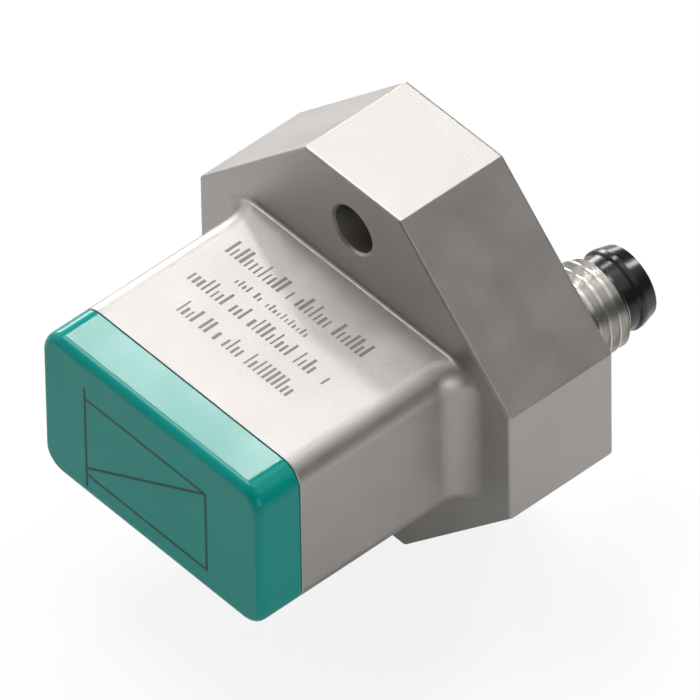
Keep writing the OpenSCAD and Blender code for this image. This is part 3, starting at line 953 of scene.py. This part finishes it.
def thread_tree() -> PieceTree:
    """Builds the tree that sweeps a thread's ridge along a helix about an axis along Y.

    Returns:
        The tree.
    """
    tree = PieceTree("thread_ridge", (
        ("Turns", "Float", 6.0), ("Pitch", "Float", 0.001), ("Segments", "Int", 72),
        ("Foot Radius", "Float", 0.003), ("Crest Radius", "Float", 0.004),
        ("Foot", "Float", 0.0009), ("Crest", "Float", 0.0001)))
    given = tree.given
    helix = tree.node("GeometryNodeCurveSpiral", {
        "Resolution": given["Segments"], "Rotations": given["Turns"],
        "Start Radius": given["Foot Radius"], "End Radius": given["Foot Radius"],
        "Height": tree.math("MULTIPLY", given["Turns"], given["Pitch"])})
    upright = tree.node("GeometryNodeSetCurveNormal", {"Curve": helix.outputs[0]}, mode="Z_UP")
    rise = tree.math("SUBTRACT", given["Foot Radius"], given["Crest Radius"])
    section = (("Foot", -0.5, 0.0), ("Foot", 0.5, 0.0), ("Crest", 0.5, rise), ("Crest", -0.5, rise))
    points = {f"Point {number}": tree.vector(reach, tree.math("MULTIPLY", given[width], side))
              for number, (width, side, reach) in enumerate(section, start=1)}
    profile = tree.node("GeometryNodeCurvePrimitiveQuadrilateral", points, mode="POINTS")
    swept = tree.node("GeometryNodeCurveToMesh", {
        "Curve": upright.outputs[0], "Profile Curve": profile.outputs[0], "Fill Caps": True})
    tree.close(swept.outputs[0], turn=(-math.pi / 2.0, 0.0, 0.0))
    return tree


@dataclass
class Connector:
    """The round connector: a threaded sleeve, its insulator, the contact pins and a seal."""

    x: float = 9.05
    collar_radius: float = 4.295
    collar_start: float = 8.2
    flange_back: float = 10.8
    groove: Pair = (9.1, 9.9)
    groove_radius: float = 3.75
    neck_radius: float = 3.35
    thread_radius: float = 4.0
    root_radius: float = 3.37
    pitch: float = 1.0
    thread_start: float = 11.2
    thread_end: float = 17.75
    crest: float = 0.125
    flank: float = 30.0
    foot_sink: float = 0.1  # how far the ridge reaches into the sleeve
    foot_slope: float = 0.05
    envelope_gap: float = 0.01
    bore_radius: float = 3.1
    collar_edge: float = 0.1
    segments: int = 72
    around: int = 128
    inner_nodes: dict[str, Finish] = field(default_factory=lambda: {
        "contact_carrier": INSULATOR, "contact_pin_1": GOLD, "contact_pin_3": GOLD,
        "contact_pin_4": GOLD, "sleeve_seal": RUBBER})

    def ridge(self) -> Piece:
        """Builds the thread's ridge, cut off at both ends by a cone.

        Returns:
            The ridge.
        """
        start, end = self.thread_start - self.pitch, self.thread_end + self.pitch
        foot_radius = self.root_radius - self.foot_sink
        slope = 2.0 * math.tan(math.radians(self.flank)) * (self.thread_radius - foot_radius)
        ridge = thread_tree().grow("thread_ridge", {
            "Turns": (end - start) / self.pitch, "Pitch": self.pitch * MM,
            "Segments": self.segments, "Foot Radius": foot_radius * MM,
            "Crest Radius": self.thread_radius * MM, "Foot": (self.crest + slope) * MM,
            "Crest": self.crest * MM, "Place": Vector((self.x, start, 0.0)) * MM,
            "Material": THREAD_METAL.material()})
        reach = self.thread_radius + self.envelope_gap
        cone = reach - self.root_radius
        profile = [(0.0, self.thread_start), (self.root_radius, self.thread_start),
                   (reach, self.thread_start + cone), (reach, self.thread_end - cone),
                   (self.root_radius, self.thread_end), (0.0, self.thread_end)]
        envelope = turned("thread_envelope", profile, (self.x, 0.0), self.around)
        return carve(ridge, [envelope], Cut.KEEP_WITHIN)

    def sleeve(self) -> Piece:
        """Turns the sleeve and joins the thread to it.

        Returns:
            The sleeve.
        """
        low, high = self.groove
        back = self.flange_back
        profile = [(self.bore_radius, self.collar_start), (self.collar_radius, self.collar_start),
                   (self.collar_radius, low), (self.groove_radius, low),
                   (self.groove_radius, high), (self.collar_radius, high),
                   (self.collar_radius, back - self.collar_edge),
                   (self.collar_radius - self.collar_edge, back), (self.neck_radius, back),
                   (self.neck_radius, self.thread_start),
                   (self.root_radius, self.thread_start + self.foot_slope),
                   (self.root_radius, self.thread_end), (self.bore_radius, self.thread_end)]
        blank = turned("threaded_sleeve", profile, (self.x, 0.0), self.around)
        return carve(blank, [self.ridge()], Cut.JOIN)

    def build(self, nodes: dict[str, Piece]) -> list[Piece]:
        """Builds the sleeve and dresses the connector's CAD nodes.

        Args:
            nodes: CAD nodes by name.

        Returns:
            The new pieces.
        """
        for name, finish in self.inner_nodes.items():
            dress_node(nodes[name], finish)
        return [dressed(self.sleeve(), THREAD_METAL, ["connector_sleeve"], sharp=50.0)]


@dataclass
class Electronics:
    """Everything inside the housing, all of it CAD nodes."""

    finishes: dict[str, Finish] = field(default_factory=lambda: {
        "cap_seal": RUBBER, "coil_board": LAMINATE, "sensing_coil_1": COPPER,
        "sensing_coil_2": COPPER, "sensing_coil_3": COPPER, "sensing_coil_4": COPPER,
        "ferrite_plate": FERRITE, "board_carrier": CARRIER_PLASTIC, "main_board": LAMINATE,
        "microcontroller": EPOXY, "signal_amplifier": EPOXY, "output_driver": EPOXY,
        "voltage_regulator": EPOXY, "protection_diode": EPOXY, "filter_choke": FERRITE,
        "clock_crystal": LID_METAL, "capacitors": CERAMIC, "resistors": EPOXY,
        "header_body": INSULATOR, "header_pins": TINNED, "lead_brown": BROWN_JACKET,
        "lead_blue": BLUE_JACKET, "lead_black": BLACK_JACKET})

    def build(self, nodes: dict[str, Piece]) -> None:
        """Dresses each CAD node inside the housing."""
        for name, finish in self.finishes.items():
            dress_node(nodes[name], finish)


@dataclass(frozen=True)
class Softbox:
    """One soft light far away, drawn in the world.

    Attributes:
        bearing: Direction in degrees from +X towards +Y.
        height: Degrees above the horizon.
        strength: Its strength, where 1 is white.
        inner: Angle in degrees within which it is full.
        outer: Angle at which it has faded out.
    """

    bearing: float
    height: float
    strength: float
    inner: float = 12.0
    outer: float = 32.0

    def axis(self) -> Vector:
        """Works out where the light stands.

        Returns:
            The unit vector towards it.
        """
        turn, rise = math.radians(self.bearing), math.radians(self.height)
        flat = math.cos(rise)
        return Vector((math.cos(turn) * flat, math.sin(turn) * flat, math.sin(rise)))

    def glow(self, wires: Wiring, heading: Wire) -> Wire:
        """Adds the light to the world's tree.

        Args:
            wires: The world's tree.
            heading: Direction that is looked along.

        Returns:
            The light's strength in that direction.
        """
        dot = wires.node("ShaderNodeVectorMath", {0: heading, 1: self.axis()},
                         operation="DOT_PRODUCT")
        edges = {0: dot.outputs["Value"], 1: math.cos(math.radians(self.outer)),
                 2: math.cos(math.radians(self.inner)), 3: 0.0, 4: self.strength}
        fade = wires.node("ShaderNodeMapRange", edges, interpolation_type="SMOOTHSTEP")
        return fade.outputs[0]


@dataclass
class Studio:
    """Pale floor, soft light from the world and the camera at the photograph's angle.

    Attributes:
        azimuth: Camera's direction in degrees from -Y towards +X.
        elevation: Its angle above the horizon.
        roll: Its turn about the line of sight.
        frame_width: Width of the picture at the origin.
        aim: Offset of the picture's centre from the origin, to the right and up.
        distance: Camera's distance from the origin.
        clip: Nearest and farthest distance that it sees.
        floor_size: Width of the square floor.
        floor_color: Floor's brightness under the object, as all rays but the camera's see it.
        floor_far: Floor's brightness far off, for the same rays.
        floor_reach: Distances between which the first falls to the second. This is a painted pool
            of light round the object and painted shade far off, which metal mirrors as a dark
            horizon.
        floor_glow: Share of plain white in the floor that the camera sees.
        mirrored_glow: The same share in the floor that metal and plastic mirror.
        horizon: Brightness of the sky at the horizon.
        sky: Brightness of the sky overhead.
        sky_top: Height of the unit direction from which the sky is as overhead.
        softboxes: The soft lights.
    """

    azimuth: float = 48.7
    elevation: float = 45.6
    roll: float = -0.95
    frame_width: float = 54.39
    aim: Pair = (-0.326, -0.163)
    distance: float = 1600.0
    clip: Pair = (10.0, 20000.0)
    floor_size: float = 12000.0
    floor_color: float = 0.74
    floor_far: float = 0.2
    floor_reach: Pair = (70.0, 240.0)
    floor_glow: float = 0.85
    mirrored_glow: float = 0.15
    horizon: float = 0.06
    sky: float = 0.14
    sky_top: float = 0.9
    softboxes: tuple[Softbox, ...] = (
        Softbox(138.7, 45.6, 37.0, 1.5, 3.5),  # gloss on the cap's top, and the steel's tops
        Softbox(152.0, 53.0, 3.0, 2.0, 5.5),  # steel's tops, a little
        Softbox(170.0, 57.0, 7.1, 4.0, 11.0),  # snout's top
        Softbox(174.0, 70.0, 7.0, 6.0, 16.0),  # snout's top, most of all by the flange
        Softbox(105.0, 68.0, 1.8, 5.0, 14.0),  # thread
        Softbox(94.0, 38.0, 20.0, 3.0, 7.0),  # highlight on the connector's nose
        Softbox(60.0, 52.0, 0.8),  # upper right chamfer and thread
        Softbox(185.0, 42.0, 1.0),  # flange's front and snout's top
        Softbox(149.0, 1.0, 10.0, 8.0, 19.0),  # upper left chamfer and snout's left edge
        Softbox(175.0, 10.0, 0.7),  # thread's left flanks
        Softbox(215.0, 8.0, 0.8),  # flange's front above the snout
        Softbox(345.0, 8.0, 2.8, 10.0, 26.0))  # cap's right side and the fillet

    def camera(self) -> None:
        """Creates the camera, far off with a long lens, so that lines stay parallel."""
        a, e = math.radians(self.azimuth), math.radians(self.elevation)
        back = Vector((math.sin(a) * math.cos(e), -math.cos(a) * math.cos(e), math.sin(e)))
        level = Vector((math.cos(a), math.sin(a), 0.0))
        turn = Matrix.Rotation(math.radians(self.roll), 3, back)
        right, up = turn @ level, turn @ back.cross(level)
        data = bpy.data.cameras.new("photo_camera")
        data.lens = data.sensor_width * self.distance / self.frame_width
        data.clip_start, data.clip_end = self.clip[0] * MM, self.clip[1] * MM
        made = bpy.data.objects.new("photo_camera", data)
        bpy.context.scene.collection.objects.link(made)
        aim = right * self.aim[0] + up * self.aim[1]
        made.location = (aim + back * self.distance) * MM
        made.rotation_euler = Matrix((right, up, back)).transposed().to_euler()
        bpy.context.scene.camera = made

    def floor(self, level: float) -> None:
        """Lays the floor.

        Args:
            level: Its height in metres.
        """
        half = self.floor_size / 2.0 * MM
        corners = [(x * half, y * half, level) for x, y in ((-1, -1), (1, -1), (1, 1), (-1, 1))]
        mesh = bpy.data.meshes.new("floor")
        mesh.from_pydata(corners, [], [(0, 1, 2, 3)])
        made = mesh_object("floor", mesh)
        material = bpy.data.materials.new("floor_paper")
        material.use_nodes = True
        material.node_tree.nodes.clear()
        wires = Wiring(material.node_tree)
        rays = wires.node("ShaderNodeLightPath").outputs
        place = wires.node("ShaderNodeTexCoord").outputs["Object"]
        apart = wires.node("ShaderNodeVectorMath", {0: place}, operation="LENGTH")
        # painted pool of light and painted shade: for all rays but the camera's, the floor's colour
        # and glow fall from floor_color near the object to floor_far far off, while the camera sees
        # the floor white
        near, far = self.floor_reach
        painted_light_pool = wires.spread(apart.outputs["Value"], near * MM, far * MM,
                            self.floor_color, self.floor_far)
        lit = wires.math("MAXIMUM", painted_light_pool, rays["Is Camera Ray"])
        shade = wires.node("ShaderNodeCombineColor", dict.fromkeys(range(3), lit)).outputs[0]
        paper = wires.node("ShaderNodeBsdfDiffuse", {"Color": shade})
        white = wires.node("ShaderNodeEmission", {"Color": WHITE, "Strength": lit})
        mirrored = wires.math("MAXIMUM", rays["Is Glossy Ray"], rays["Is Transmission Ray"])
        seen_glow = wires.math("MULTIPLY", rays["Is Camera Ray"], self.floor_glow)
        glow = wires.math("MAXIMUM", seen_glow,
                          wires.math("MULTIPLY", mirrored, self.mirrored_glow))
        shader = wires.node("ShaderNodeMixShader",
                            {0: glow, 1: paper.outputs[0], 2: white.outputs[0]})
        wires.node("ShaderNodeOutputMaterial", {"Surface": shader.outputs[0]})
        mesh.materials.append(material)
        made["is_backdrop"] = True

    def world(self) -> None:
        """Lights the scene with the softboxes and a dim sky that brightens upwards."""
        made = bpy.data.worlds.new("studio")
        bpy.context.scene.world = made
        made.use_nodes = True
        made.node_tree.nodes.clear()
        wires = Wiring(made.node_tree)
        heading = wires.node("ShaderNodeTexCoord").outputs["Generated"]
        height = wires.node("ShaderNodeSeparateXYZ", {0: heading}).outputs[2]
        total = wires.spread(height, 0.0, self.sky_top, self.horizon, self.sky)
        for softbox in self.softboxes:
            total = wires.math("ADD", total, softbox.glow(wires, heading))
        seen = wires.node("ShaderNodeLightPath").outputs["Is Camera Ray"]
        shown = wires.node("ShaderNodeMix", {0: seen, 2: total, 3: 1.0}, data_type="FLOAT")
        light = wires.node("ShaderNodeBackground", {"Color": WHITE, "Strength": shown.outputs[0]})
        wires.node("ShaderNodeOutputWorld", {"Surface": light.outputs[0]})

    def build(self, level: float) -> None:
        """Sets up the camera, the floor, the world and the view transform.

        Args:
            level: Height of the floor in metres.
        """
        self.camera()
        self.floor(level)
        self.world()
        bpy.context.scene.view_settings.view_transform = "Standard"


def main() -> None:
    """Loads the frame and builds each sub-assembly on it."""
    logging.basicConfig(level=logging.INFO, format="%(name)s: %(message)s")
    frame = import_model()
    cad_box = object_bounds()
    Studio().build(cad_box[0].z)
    SteelBody().build()
    EtchedMarks().build()
    SensingCap().build()
    Connector().build(frame["nodes"])
    Electronics().build(frame["nodes"])


if __name__ == "__main__":
    main()
